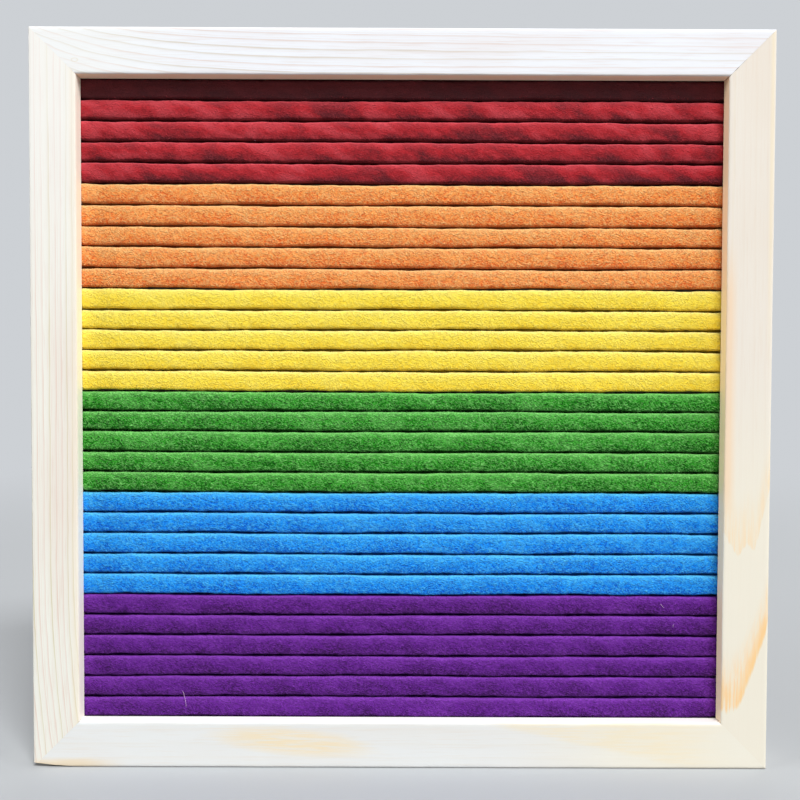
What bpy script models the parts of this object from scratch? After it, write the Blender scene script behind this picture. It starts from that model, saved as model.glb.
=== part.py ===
# Felt letter board: a mitred pine frame round a panel of felt pleated over wooden slats.
# Metres, +Z up, the felt faces -Y, and the origin is the middle of the frame's underside.
import math

import bmesh
import bpy
from mathutils import Matrix, Vector

# Felt bands from the top down: colour name, number of rows, colour as linear RGB
BANDS = (
    ("red", 5, (0.40, 0.022, 0.035)),
    ("orange", 5, (0.84, 0.24, 0.055)),
    ("yellow", 5, (0.91, 0.66, 0.075)),
    ("green", 5, (0.055, 0.32, 0.045)),
    ("blue", 5, (0.025, 0.24, 0.74)),
    ("purple", 6, (0.105, 0.022, 0.27)),
)

# Clearances
SEAT_GAP = 0.0003
GLUE_LINE = 0.0003
BOARD_PLAY = 0.0005

# Felt, slats and the boards behind them
FELT_THICKNESS = 0.001
GROOVE_GAP = 0.0007
SLAT_WIDTH = 0.00386
SLAT_DEPTH = 0.004
SLAT_EDGE_RADIUS = 0.001
RIB_OVERLAP = 0.004
CARD_THICKNESS = 0.0015
BACK_BOARD_THICKNESS = 0.003

# Frame moulding
SIGHT_WIDTH = 0.222
LIP_DEPTH = 0.005
RABBET_WIDTH = 0.005
RAIL_WALL = 0.011
BACK_RECESS = 0.0025
FRONT_OUTER_RADIUS = 0.0008
FRONT_INNER_RADIUS = 0.0005
BACK_OUTER_RADIUS = 0.0006
SANDED_CORNER_LENGTH = 0.014
SANDED_CORNER_RISE = 0.0012

# Steel points that hold the back board
POINT_THICKNESS = 0.0005
POINT_WIDTH = 0.006
POINT_DRIVEN = 0.0065
POINT_REACH = 0.0085
POINT_TIP = 0.0025
POINT_SPACING = 0.12

# Bent steel nails across the mitres
MITRE_NAIL_THICKNESS = 0.0005
MITRE_NAIL_WING = 0.0042
MITRE_NAIL_HALF_ANGLE = math.radians(38)
MITRE_NAIL_BEND_RADIUS = 0.0009
MITRE_NAIL_DEPTH = 0.009

# Sawtooth hanger and its two nails
HANGER_LENGTH = 0.046
HANGER_HEIGHT = 0.008
HANGER_THICKNESS = 0.0009
HANGER_EAR = 0.0065
HANGER_STEP = 0.0016
HANGER_STEP_RUN = 0.002
TOOTH_COUNT = 9
TOOTH_DEPTH = 0.0013
HANGER_NAIL_INSET = 0.0033
HANGER_NAIL_RADIUS = 0.0006
HANGER_NAIL_LENGTH = 0.0085
HANGER_NAIL_HEAD_RADIUS = 0.0013
HANGER_NAIL_HEAD_THICKNESS = 0.0005

# Facets
CREST_SEGMENTS = 4
VALLEY_SEGMENTS = 6
EDGE_SEGMENTS = 3
ROUND_SEGMENTS = 16
MERGE_DISTANCE = 0.000001

# Sizes that follow from those above
ROW_PITCH = SLAT_WIDTH + 2 * (SEAT_GAP + FELT_THICKNESS) + GROOVE_GAP
ROW_COUNT = sum(rows for _, rows, _ in BANDS)
SIGHT_HEIGHT = ROW_COUNT * ROW_PITCH
RAIL_WIDTH = RABBET_WIDTH + RAIL_WALL
FRAME_WIDTH = SIGHT_WIDTH + 2 * RAIL_WIDTH
FRAME_HEIGHT = SIGHT_HEIGHT + 2 * RAIL_WIDTH
BOARD_WIDTH = SIGHT_WIDTH + 2 * (RABBET_WIDTH - BOARD_PLAY)
BOARD_HEIGHT = SIGHT_HEIGHT + 2 * (RABBET_WIDTH - BOARD_PLAY)
RIB_LENGTH = SIGHT_WIDTH + 2 * RIB_OVERLAP

# Depths behind the frame's front face, from the felt to the points
CREST_DEPTH = LIP_DEPTH + SEAT_GAP
SLAT_FRONT = CREST_DEPTH + FELT_THICKNESS + SEAT_GAP
SLAT_BACK = SLAT_FRONT + SLAT_DEPTH
CARD_FRONT = SLAT_BACK + SEAT_GAP
CARD_BACK = CARD_FRONT + CARD_THICKNESS
BOARD_FRONT = CARD_BACK + SEAT_GAP
BOARD_BACK = BOARD_FRONT + BACK_BOARD_THICKNESS
POINT_FRONT = BOARD_BACK + SEAT_GAP
RAIL_DEPTH = POINT_FRONT + POINT_THICKNESS + BACK_RECESS
FRONT_Y = -RAIL_DEPTH / 2

# Each side of the frame: node name, turn about Y that brings the bottom rail there
SIDES = {
    "bottom": ("frame_bottom_rail", 0),
    "left": ("frame_left_stile", 90),
    "top": ("frame_top_rail", 180),
    "right": ("frame_right_stile", 270),
}
# The corner at the +X end of each side's own frame
CORNERS = {"bottom": "bottom_right", "left": "bottom_left", "top": "top_left", "right": "top_right"}


def clear_scene():
    for old in list(bpy.data.objects):
        bpy.data.objects.remove(old)


def new_collection(name):
    made = bpy.data.collections.new(name)
    bpy.context.scene.collection.children.link(made)
    return made


def material(name, colour, roughness, metallic=0.0):
    """A Principled material, made once for each name."""
    made = bpy.data.materials.get(name)
    if made is None:
        made = bpy.data.materials.new(name)
        made.use_nodes = True
        shader = made.node_tree.nodes["Principled BSDF"]
        shader.inputs["Base Color"].default_value = (*colour, 1.0)
        shader.inputs["Roughness"].default_value = roughness
        shader.inputs["Metallic"].default_value = metallic
        made.diffuse_color = (*colour, 1.0)
    return made


def pine():
    return material("pine", (0.83, 0.78, 0.69), 0.62)


def felt(colour_name, colour):
    return material("felt_" + colour_name, colour, 0.95)


def slat_wood():
    return material("slat_wood", (0.48, 0.36, 0.24), 0.8)


def grey_card():
    return material("grey_card", (0.38, 0.36, 0.33), 0.9)


def hardboard():
    return material("hardboard", (0.23, 0.135, 0.075), 0.7)


def zinc_steel():
    return material("zinc_steel", (0.62, 0.62, 0.63), 0.35, 1.0)


def add_object(name, mesh, look=None):
    """An object in the board's collection with the given material."""
    made = bpy.data.objects.new(name, mesh)
    board.objects.link(made)
    if look is not None and not mesh.materials:
        mesh.materials.append(look)
    return made


def add_cutter(name, mesh):
    """An object that only cuts others, kept out of the render."""
    made = bpy.data.objects.new(name, mesh)
    cutters.objects.link(made)
    made.hide_render = True
    made.display_type = "WIRE"
    return made


def cut(target, cutter):
    """Takes the cutter's shape out of the target, in one step with the target's other cutters."""
    group_name = "cuts_" + target.name
    group = bpy.data.collections.get(group_name)
    if group is None:
        group = bpy.data.collections.new(group_name)
        cutters.children.link(group)
        step = target.modifiers.new("cuts", "BOOLEAN")
        step.operation = "DIFFERENCE"
        step.solver = "EXACT"
        step.operand_type = "COLLECTION"
        step.collection = group
    group.objects.link(cutter)


def arc(centre, radius, start, end, segments):
    """Points along a circle from the start angle to the end angle, in radians."""
    return [
        (
            centre[0] + radius * math.cos(start + (end - start) * step / segments),
            centre[1] + radius * math.sin(start + (end - start) * step / segments),
        )
        for step in range(segments + 1)
    ]


def outline_mesh(name, points, thickness):
    """A flat outline in XY, given a thickness centred on its plane, as a mesh with welded caps."""
    curve = bpy.data.curves.new(name, "CURVE")
    curve.dimensions = "2D"
    curve.fill_mode = "BOTH"
    curve.extrude = thickness / 2
    spline = curve.splines.new("POLY")
    spline.points.add(len(points) - 1)
    for place, (x, y) in zip(spline.points, points):
        place.co = (x, y, 0, 1)
    spline.use_cyclic_u = True
    holder = bpy.data.objects.new(name, curve)
    cutters.objects.link(holder)
    graph = bpy.context.evaluated_depsgraph_get()
    mesh = bpy.data.meshes.new_from_object(holder.evaluated_get(graph))
    bpy.data.objects.remove(holder)
    welded = bmesh.new()
    welded.from_mesh(mesh)
    bmesh.ops.remove_doubles(welded, verts=welded.verts, dist=MERGE_DISTANCE)
    welded.to_mesh(mesh)
    welded.free()
    return mesh


def box_mesh(name, size):
    """A box of the given size, centred on its own origin."""
    shape = bmesh.new()
    bmesh.ops.create_cube(shape, size=1, matrix=Matrix.Diagonal((*size, 1)))
    mesh = bpy.data.meshes.new(name)
    shape.to_mesh(mesh)
    shape.free()
    return mesh


def cylinder_mesh(name, radius, length):
    """A capped cylinder along Z, centred on its own origin."""
    shape = bmesh.new()
    bmesh.ops.create_cone(
        shape, cap_ends=True, segments=ROUND_SEGMENTS, radius1=radius, radius2=radius, depth=length
    )
    mesh = bpy.data.meshes.new(name)
    shape.to_mesh(mesh)
    shape.free()
    return mesh


def strip_mesh(name, path, along):
    """An open surface: the path's points joined in a line and swept by the vector along."""
    shape = bmesh.new()
    line = [shape.verts.new(point) for point in path]
    edges = [shape.edges.new(pair) for pair in zip(line, line[1:])]
    swept = bmesh.ops.extrude_edge_only(shape, edges=edges)
    far = [item for item in swept["geom"] if isinstance(item, bmesh.types.BMVert)]
    bmesh.ops.translate(shape, verts=far, vec=along)
    mesh = bpy.data.meshes.new(name)
    shape.to_mesh(mesh)
    shape.free()
    return mesh


def thicken(target, thickness):
    """Gives an open surface its wall, half of it on each side."""
    wall = target.modifiers.new("wall", "SOLIDIFY")
    wall.thickness = thickness
    wall.offset = 0
    wall.use_even_offset = True


def side_length(side):
    return FRAME_WIDTH if side in ("bottom", "top") else FRAME_HEIGHT


def side_frame(side):
    """A side's own frame: X along it, Y back from the front face, Z inwards from its outer edge."""
    across = FRAME_HEIGHT if side in ("bottom", "top") else FRAME_WIDTH
    turn = Matrix.Rotation(math.radians(SIDES[side][1]), 4, "Y")
    centre = Matrix.Translation((0, FRONT_Y, FRAME_HEIGHT / 2))
    return centre @ turn @ Matrix.Translation((0, 0, -across / 2))


def moulding_section():
    """The rail's section: X inwards from the outer edge, Y back from the front face."""
    right, half = math.pi / 2, math.pi
    front_outer = (FRONT_OUTER_RADIUS, FRONT_OUTER_RADIUS)
    front_inner = (RAIL_WIDTH - FRONT_INNER_RADIUS, FRONT_INNER_RADIUS)
    back_outer = (BACK_OUTER_RADIUS, RAIL_DEPTH - BACK_OUTER_RADIUS)
    return [
        *arc(front_outer, FRONT_OUTER_RADIUS, half, half + right, EDGE_SEGMENTS),
        *arc(front_inner, FRONT_INNER_RADIUS, half + right, 2 * half, EDGE_SEGMENTS),
        (RAIL_WIDTH, LIP_DEPTH),
        (RAIL_WALL, LIP_DEPTH),
        (RAIL_WALL, RAIL_DEPTH),
        *arc(back_outer, BACK_OUTER_RADIUS, right, half, EDGE_SEGMENTS),
    ]


def saw_mitre(shape, length, way):
    """Saws one end at 45 degrees, half a glue line short of the corner, and closes the cut."""
    outward = Vector((way, 0, 1)).normalized()
    corner = Vector((way * length / 2, 0, 0))
    sawn = bmesh.ops.bisect_plane(
        shape,
        geom=[*shape.verts, *shape.edges, *shape.faces],
        dist=MERGE_DISTANCE,
        plane_co=corner - outward * GLUE_LINE / 2,
        plane_no=outward,
        clear_outer=True,
    )
    rim = [item for item in sawn["geom_cut"] if isinstance(item, bmesh.types.BMEdge)]
    bmesh.ops.edgeloop_fill(shape, edges=rim)


def make_rail(side):
    """One length of moulding, mitred at both ends."""
    name = SIDES[side][0]
    length = side_length(side)
    mesh = outline_mesh(name, moulding_section(), length + 2 * RAIL_WIDTH)
    shape = bmesh.new()
    shape.from_mesh(mesh)
    # The section's plane becomes the rail's ZY plane
    lay_down = Matrix(((0, 0, -1, 0), (0, 1, 0, 0), (1, 0, 0, 0), (0, 0, 0, 1)))
    bmesh.ops.transform(shape, matrix=lay_down, verts=shape.verts)
    for way in (-1, 1):
        saw_mitre(shape, length, way)
    bmesh.ops.recalc_face_normals(shape, faces=shape.faces)
    shape.to_mesh(mesh)
    shape.free()
    rail = add_object(name, mesh, pine())
    rail.matrix_world = side_frame(side)
    return rail


def sand_corner(rails):
    """Wears the underside away towards the bottom left corner, in a shallow curve."""
    left = -FRAME_WIDTH / 2
    steps = 2 * EDGE_SEGMENTS
    curve = [
        (left + SANDED_CORNER_LENGTH * (1 - step / steps), SANDED_CORNER_RISE * (step / steps) ** 2)
        for step in range(steps + 2)
    ]
    below = -2 * SANDED_CORNER_RISE
    outline = [*curve, (curve[-1][0], below), (curve[0][0], below)]
    mesh = outline_mesh("corner_sanding", outline, 2 * RAIL_DEPTH)
    sanding = add_cutter("corner_sanding", mesh)
    sanding.matrix_world = Matrix.Rotation(math.pi / 2, 4, "X")
    for side in ("bottom", "left"):
        cut(rails[side], sanding)


def mitre_nail_path(play=0):
    """The nail's bent line in XZ: a rounded bend at the bottom and two wings that open upwards.

    Play is what the wings' slot has beyond their ends.
    """
    lean = MITRE_NAIL_HALF_ANGLE
    bend = arc((0, 0), MITRE_NAIL_BEND_RADIUS, math.pi + lean, 2 * math.pi - lean, EDGE_SEGMENTS + 1)
    wing = MITRE_NAIL_WING + play
    reach = (wing * math.sin(lean), wing * math.cos(lean))
    first = (bend[0][0] - reach[0], bend[0][1] + reach[1])
    last = (bend[-1][0] + reach[0], bend[-1][1] + reach[1])
    middle = (bend[0][1] + MITRE_NAIL_WING * math.cos(lean) - MITRE_NAIL_BEND_RADIUS) / 2
    return [(x, 0, z - middle) for x, z in (first, *bend, last)]


def make_mitre_nails(rails):
    """A bent nail driven from the back across each mitre, in the middle of the wall's diagonal."""
    nail_mesh = strip_mesh("mitre_nail", mitre_nail_path(), (0, MITRE_NAIL_DEPTH, 0))
    slot_depth = MITRE_NAIL_DEPTH + 2 * SEAT_GAP
    slot_mesh = strip_mesh("mitre_slot", mitre_nail_path(SEAT_GAP), (0, 2 * slot_depth, 0))
    order = list(SIDES)
    for number, side in enumerate(order):
        middle = (side_length(side) - RAIL_WALL) / 2
        seat = side_frame(side) @ Matrix.Translation((middle, RAIL_DEPTH, RAIL_WALL / 2))
        seat = seat @ Matrix.Rotation(math.radians(-45), 4, "Y")
        nail = add_object("mitre_nail_" + CORNERS[side], nail_mesh, zinc_steel())
        nail.matrix_world = seat @ Matrix.Translation((0, -MITRE_NAIL_DEPTH - SEAT_GAP, 0))
        thicken(nail, MITRE_NAIL_THICKNESS)
        slot = add_cutter("mitre_slot_" + CORNERS[side], slot_mesh)
        slot.matrix_world = seat @ Matrix.Translation((0, -slot_depth, 0))
        thicken(slot, MITRE_NAIL_THICKNESS + 2 * SEAT_GAP)
        cut(rails[side], slot)
        cut(rails[order[number - 1]], slot)


def point_outline():
    """A glazier's point: tip down, square shoulders, round tail. X across, Y inwards from the wall."""
    half = POINT_WIDTH / 2
    return [
        (0, -POINT_DRIVEN),
        (half, POINT_TIP - POINT_DRIVEN),
        *arc((0, POINT_REACH - half), half, 0, math.pi, ROUND_SEGMENTS // 2),
        (-half, POINT_TIP - POINT_DRIVEN),
    ]


def make_points(rails):
    """Two steel points driven into each side, flat behind the back board."""
    point_mesh = outline_mesh("retaining_point", point_outline(), POINT_THICKNESS)
    slot_size = (
        POINT_WIDTH + 2 * SEAT_GAP,
        POINT_THICKNESS + 2 * SEAT_GAP,
        2 * (POINT_DRIVEN + SEAT_GAP),
    )
    slot_mesh = box_mesh("point_slot", slot_size)
    for side in SIDES:
        for number, along in enumerate((-POINT_SPACING / 2, POINT_SPACING / 2), 1):
            middle = (along, POINT_FRONT + POINT_THICKNESS / 2, RAIL_WALL)
            seat = side_frame(side) @ Matrix.Translation(middle)
            point = add_object(f"retaining_point_{side}_{number}", point_mesh, zinc_steel())
            point.matrix_world = seat @ Matrix.Rotation(math.pi / 2, 4, "X")
            slot = add_cutter(f"point_slot_{side}_{number}", slot_mesh)
            slot.matrix_world = seat
            cut(rails[side], slot)


def hanger_path():
    """The hanger's bent line along its length: flat ears, and a middle stepped off the wood."""
    ear = HANGER_LENGTH / 2 - HANGER_EAR
    near = HANGER_THICKNESS / 2
    far = near + HANGER_STEP
    half = [(HANGER_LENGTH / 2, near), (ear, near), (ear - HANGER_STEP_RUN, far)]
    return [(-x, y, 0) for x, y in half] + [(x, y, 0) for x, y in reversed(half)]


def teeth_outline():
    """A zigzag whose peaks bite into the hanger's lower edge, closed below it."""
    reach = HANGER_LENGTH / 2 - HANGER_EAR - HANGER_STEP_RUN
    tooth = 2 * reach / TOOTH_COUNT
    line = [(-reach, HANGER_HEIGHT)]
    for number in range(TOOTH_COUNT):
        line.append((-reach + (number + 0.5) * tooth, HANGER_HEIGHT - TOOTH_DEPTH))
        line.append((-reach + (number + 1) * tooth, HANGER_HEIGHT))
    return [*line, (reach, HANGER_HEIGHT + TOOTH_DEPTH), (-reach, HANGER_HEIGHT + TOOTH_DEPTH)]


def nail_mesh_along_z():
    """The half outline of a round nail from its head down to its tip, turned by a Screw modifier."""
    head = HANGER_NAIL_HEAD_THICKNESS
    line = [
        (0, head),
        (HANGER_NAIL_HEAD_RADIUS * 0.8, head),
        (HANGER_NAIL_HEAD_RADIUS, head / 2),
        (HANGER_NAIL_HEAD_RADIUS, 0),
        (HANGER_NAIL_RADIUS, 0),
        (HANGER_NAIL_RADIUS, 2 * HANGER_NAIL_RADIUS - HANGER_NAIL_LENGTH),
        (0, -HANGER_NAIL_LENGTH),
    ]
    mesh = bpy.data.meshes.new("hanger_nail")
    mesh.from_pydata([(x, 0, z) for x, z in line], [(n, n + 1) for n in range(len(line) - 1)], [])
    return mesh


def make_hanger(rails):
    """A sawtooth hanger nailed to the back of the top rail, its teeth downwards."""
    back = side_frame("top") @ Matrix.Translation((0, RAIL_DEPTH, 0))
    top_edge = (RAIL_WALL - HANGER_HEIGHT) / 2
    seat = back @ Matrix.Translation((0, SEAT_GAP, top_edge))
    hanger = add_object(
        "sawtooth_hanger",
        strip_mesh("sawtooth_hanger", hanger_path(), (0, 0, HANGER_HEIGHT)),
        zinc_steel(),
    )
    hanger.matrix_world = seat
    thicken(hanger, HANGER_THICKNESS)
    teeth = add_cutter("teeth", outline_mesh("teeth", teeth_outline(), 4 * HANGER_STEP))
    teeth.matrix_world = seat @ Matrix.Translation((0, HANGER_STEP, 0)) @ Matrix(
        ((1, 0, 0, 0), (0, 0, -1, 0), (0, 1, 0, 0), (0, 0, 0, 1))
    )
    cut(hanger, teeth)
    turned = nail_mesh_along_z()
    hole_mesh = cylinder_mesh(
        "nail_hole", HANGER_NAIL_RADIUS + SEAT_GAP, 2 * (HANGER_NAIL_LENGTH + SEAT_GAP)
    )
    head_seat = HANGER_THICKNESS + 2 * SEAT_GAP
    for way, name in ((1, "left"), (-1, "right")):
        spot = Vector((way * (HANGER_LENGTH / 2 - HANGER_NAIL_INSET), head_seat, RAIL_WALL / 2))
        nail = add_object("hanger_nail_" + name, turned, zinc_steel())
        nail.matrix_world = back @ Matrix.Translation(spot) @ Matrix.Rotation(-math.pi / 2, 4, "X")
        lathe = nail.modifiers.new("lathe", "SCREW")
        lathe.steps = lathe.render_steps = ROUND_SEGMENTS
        lathe.use_merge_vertices = True
        lathe.merge_threshold = MERGE_DISTANCE
        hole = add_cutter("nail_hole_" + name, hole_mesh)
        hole.matrix_world = nail.matrix_world
        cut(hanger, hole)
        cut(rails["top"], hole)


def row_height(row):
    """The height of a row's middle line, rows counted from the top."""
    return FRAME_HEIGHT - RAIL_WIDTH - (row + 0.5) * ROW_PITCH


def make_slats():
    """One slat behind each row, its two front edges rounded for the felt."""
    edge_radius = min(SLAT_EDGE_RADIUS, 0.45 * SLAT_WIDTH)
    shape = bmesh.new()
    size = Matrix.Diagonal((RIB_LENGTH, SLAT_DEPTH, SLAT_WIDTH, 1))
    bmesh.ops.create_cube(shape, size=1, matrix=size)
    front = [
        edge for edge in shape.edges
        if all(vert.co.y < 0 for vert in edge.verts) and abs((edge.verts[0].co - edge.verts[1].co).x) > 0
    ]
    bmesh.ops.bevel(
        shape, geom=front, offset=edge_radius, segments=CREST_SEGMENTS, profile=0.5, affect="EDGES"
    )
    mesh = bpy.data.meshes.new("slat")
    shape.to_mesh(mesh)
    shape.free()
    for row in range(ROW_COUNT):
        slat = add_object(f"slat_{row + 1:02d}", mesh, slat_wood())
        slat.location = (0, FRONT_Y + (SLAT_FRONT + SLAT_BACK) / 2, row_height(row))


def pleat_path(rows, top_flap, bottom_flap):
    """The felt's middle line in YZ, from the top down, over the rows and into the grooves.

    Z is measured from the first row's middle and Y from the frame's front face. A flap lies on the
    card beyond the outer row; without one the felt ends at the card, in the groove.
    """
    half_felt = FELT_THICKNESS / 2
    crest = CREST_DEPTH + half_felt
    valley = CARD_FRONT - SEAT_GAP - half_felt
    wall = SLAT_WIDTH / 2 + SEAT_GAP + half_felt
    over = min(SLAT_EDGE_RADIUS, 0.45 * SLAT_WIDTH) + SEAT_GAP + half_felt
    under = (GROOVE_GAP + FELT_THICKNESS) / 2
    right = math.pi / 2
    line = []
    if top_flap > 0:
        line.append((valley, wall + under + top_flap))
        line += arc((valley - under, wall + under), under, 0, -right, VALLEY_SEGMENTS // 2)
    else:
        line.append((valley + half_felt, wall))
    for row in range(rows):
        middle = -row * ROW_PITCH
        line += arc((crest + over, middle + wall - over), over, right, 2 * right, CREST_SEGMENTS)
        line += arc((crest + over, middle - wall + over), over, 2 * right, 3 * right, CREST_SEGMENTS)
        if row < rows - 1:
            fold = (valley - under, middle - wall - under)
            line += arc(fold, under, right, -right, VALLEY_SEGMENTS)
    last = -(rows - 1) * ROW_PITCH - wall
    if bottom_flap > 0:
        line += arc((valley - under, last - under), under, right, 0, VALLEY_SEGMENTS // 2)
        line.append((valley, last - under - bottom_flap))
    else:
        line.append((valley + half_felt, last))
    return line


def flap_length():
    """From the outer row's fold to the card's edge."""
    fold = SLAT_WIDTH / 2 + SEAT_GAP + FELT_THICKNESS / 2 + (GROOVE_GAP + FELT_THICKNESS) / 2
    return ROW_PITCH / 2 + (BOARD_HEIGHT - SIGHT_HEIGHT) / 2 - fold


def make_felts():
    """One sheet of felt for each colour, pleated over its slats."""
    first_row = 0
    for name, rows, colour in BANDS:
        top_flap = flap_length() if first_row == 0 else 0
        bottom_flap = flap_length() if first_row + rows == ROW_COUNT else 0
        path = [(-RIB_LENGTH / 2, y, z) for y, z in pleat_path(rows, top_flap, bottom_flap)]
        sheet = strip_mesh("felt_" + name, path, (RIB_LENGTH, 0, 0))
        pleats = add_object("felt_" + name, sheet, felt(name, colour))
        pleats.location = (0, FRONT_Y, row_height(first_row))
        thicken(pleats, FELT_THICKNESS)
        first_row += rows


def make_boards():
    """The card that carries the slats, and the hardboard that closes the back."""
    middle = FRAME_HEIGHT / 2
    card_size = (BOARD_WIDTH, CARD_THICKNESS, BOARD_HEIGHT)
    card = add_object("card_backing", box_mesh("card_backing", card_size), grey_card())
    card.location = (0, FRONT_Y + (CARD_FRONT + CARD_BACK) / 2, middle)
    back_size = (BOARD_WIDTH, BACK_BOARD_THICKNESS, BOARD_HEIGHT)
    back = add_object("back_board", box_mesh("back_board", back_size), hardboard())
    back.location = (0, FRONT_Y + (BOARD_FRONT + BOARD_BACK) / 2, middle)


def shade(target):
    """Smooth shading across the fine facets, with flat faces that stay flat to their edges."""
    target.data.shade_smooth()
    target.data.set_sharp_from_angle(angle=math.radians(35))
    normals = target.modifiers.new("normals", "WEIGHTED_NORMAL")
    normals.keep_sharp = True


clear_scene()
board = new_collection("felt_letter_board")
cutters = new_collection("cutters")
frame_rails = {side: make_rail(side) for side in SIDES}
sand_corner(frame_rails)
make_mitre_nails(frame_rails)
make_points(frame_rails)
make_hanger(frame_rails)
make_slats()
make_felts()
make_boards()
for piece in board.objects:
    shade(piece)
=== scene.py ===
# Felt letter board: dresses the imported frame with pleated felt, pale pine and zinc fittings.
import math

import bpy
import numpy as np
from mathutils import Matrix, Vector


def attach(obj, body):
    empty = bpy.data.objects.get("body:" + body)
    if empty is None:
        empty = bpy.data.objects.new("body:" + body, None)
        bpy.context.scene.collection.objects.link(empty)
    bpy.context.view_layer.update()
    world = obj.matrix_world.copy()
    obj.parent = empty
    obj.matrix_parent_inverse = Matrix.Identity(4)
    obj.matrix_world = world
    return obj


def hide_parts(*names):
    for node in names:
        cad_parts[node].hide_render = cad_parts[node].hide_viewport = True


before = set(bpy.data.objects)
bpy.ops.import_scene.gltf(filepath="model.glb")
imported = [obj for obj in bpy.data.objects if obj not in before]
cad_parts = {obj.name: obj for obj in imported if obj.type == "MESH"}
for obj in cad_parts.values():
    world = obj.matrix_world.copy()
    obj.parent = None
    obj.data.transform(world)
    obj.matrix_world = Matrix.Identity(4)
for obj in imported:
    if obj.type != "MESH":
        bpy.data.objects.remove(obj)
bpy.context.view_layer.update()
print("stage: frame loaded")

# The board as it was built, in metres; depths are measured back from the frame's front face
board = {
    "width": 0.254,
    "height": 0.25396,
    "depth": 0.019,
    "railWidth": 0.016,
    "railWall": 0.011,
    "lipDepth": 0.005,
    "rowPitch": 0.00716,
    "rows": 31,
    "ribLength": 0.230,
}
frontY = -board["depth"] / 2
sightTop = board["height"] - board["railWidth"]


# Shader helpers


class Value:
    # A socket that takes part in sums; each operator adds a Math node

    def __init__(self, nodes, socket):
        self.nodes = nodes
        self.socket = socket

    def math(self, operation, *others):
        return self.nodes.add("Math", dict(enumerate([self, *others])), operation=operation)

    def __add__(self, other):
        return self.math("ADD", other)

    def __sub__(self, other):
        return self.math("SUBTRACT", other)

    def __rsub__(self, other):
        return self.nodes.add("Math", {0: other, 1: self}, operation="SUBTRACT")

    def __mul__(self, other):
        return self.math("MULTIPLY", other)

    def __truediv__(self, other):
        return self.math("DIVIDE", other)

    def __pow__(self, other):
        return self.math("POWER", other)

    __radd__ = __add__
    __rmul__ = __mul__

    # 0 below low and 1 above high, smooth between; the other way round where low is the larger
    def step(self, low, high):
        ends = {1: min(low, high), 2: max(low, high), 3: 0.0, 4: 1.0}
        out = self.nodes.add("MapRange", {0: self, **ends}, interpolation_type="SMOOTHSTEP")
        return 1.0 - out if low > high else out


class Nodes:
    # A node tree, with one call for any node and short ones for the common ones

    def __init__(self, tree):
        self.tree = tree

    # A node of any kind: its settings first, then the values or links of its sockets
    def add(self, kind, inputs=None, out=0, **settings):
        node = self.tree.nodes.new("ShaderNode" + kind)
        stops = settings.pop("stops", None)
        for key, value in settings.items():
            setattr(node, key, value)
        if stops:
            ramp = node.color_ramp.elements
            ramp[0].position, ramp[1].position = stops[0][0], stops[-1][0]
            for place, _ in stops[1:-1]:
                ramp.new(place)
            for element, (_, colour) in zip(ramp, stops):
                element.color = (*colour, 1.0)
        for key, value in (inputs or {}).items():
            self.feed(node.inputs[key], value)
        return Value(self, node.outputs[out])

    # A link into a socket, or a fixed value on it
    def feed(self, socket, value):
        if isinstance(value, Value):
            self.tree.links.new(value.socket, socket)
        elif isinstance(value, tuple) and len(value) == 3 and len(socket.default_value) == 4:
            socket.default_value = (*value, 1.0)
        else:
            socket.default_value = value

    def mix(self, factor, first, second):
        return self.add("Mix", {0: factor, 6: first, 7: second}, out=2, data_type="RGBA")

    # 1 for what the camera sees directly, in a reflection or through glass
    def seen(self):
        kinds = ("Camera", "Glossy", "Transmission")
        direct, glossy, through = (self.add("LightPath", out=f"Is {kind} Ray") for kind in kinds)
        return direct.math("MAXIMUM", glossy).math("MAXIMUM", through)


class Look(Nodes):
    # One material: a Principled shader and the nodes that feed it

    def __init__(self, name, **constants):
        self.material = bpy.data.materials.new(name)
        self.material.use_nodes = True
        super().__init__(self.material.node_tree)
        self.shader = self.tree.nodes["Principled BSDF"]
        for socket, value in constants.items():
            self.shader.inputs[socket.replace("_", " ")].default_value = value

    # Object coordinates whose patterns come out drawn out by stretch along the turned axes
    def place(self, stretch=(1, 1, 1), turn=(0, 0, 0), shift=(0, 0, 0)):
        where = self.add("TexCoord", out="Object")
        angles = tuple(math.radians(angle) for angle in turn)
        moved = {"Vector": where, "Location": shift, "Rotation": angles, "Scale": stretch}
        return self.add("Mapping", moved, vector_type="TEXTURE")

    # The object coordinates as three values
    def axes(self):
        where = self.add("TexCoord", out="Object")
        return [self.add("SeparateXYZ", {0: where}, out=name) for name in "XYZ"]

    # A value that the mesh carries on its points
    def carried(self, name):
        return self.add("Attribute", out="Fac", attribute_name=name)

    # A line through (place, value) pairs, both given as measured
    def through(self, value, pairs):
        low, high = pairs[0][0], pairs[-1][0]
        bottom, top = min(v for _, v in pairs), max(v for _, v in pairs)
        stops = [((p - low) / (high - low), ((v - bottom) / (top - bottom),) * 3) for p, v in pairs]
        ramp = self.add("ValToRGB", {0: (value - low) / (high - low)}, stops=stops)
        return ramp * (top - bottom) + bottom

    def noise(self, where, scale, detail=2.0, rough=0.5, distortion=0.0):
        inputs = {"Vector": where, "Scale": scale, "Detail": detail}
        return self.add("TexNoise", {**inputs, "Roughness": rough, "Distortion": distortion})

    def bump(self, height, distance, strength=1.0):
        return self.add("Bump", {"Height": height, "Distance": distance, "Strength": strength})

    # What changes over the surface is fed in, and the finished material comes back
    def finish(self, **sockets):
        for name, value in sockets.items():
            self.feed(self.shader.inputs[name.replace("_", " ")], value)
        return self.material


# A colour picked as 0 to 255 screen values, as linear light by the screen's own curve
def screen(red, green, blue):
    shares = [value / 255 for value in (red, green, blue)]
    return tuple(s / 12.92 if s <= 0.04045 else ((s + 0.055) / 1.055) ** 2.4 for s in shares)


# Mesh helpers


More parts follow.
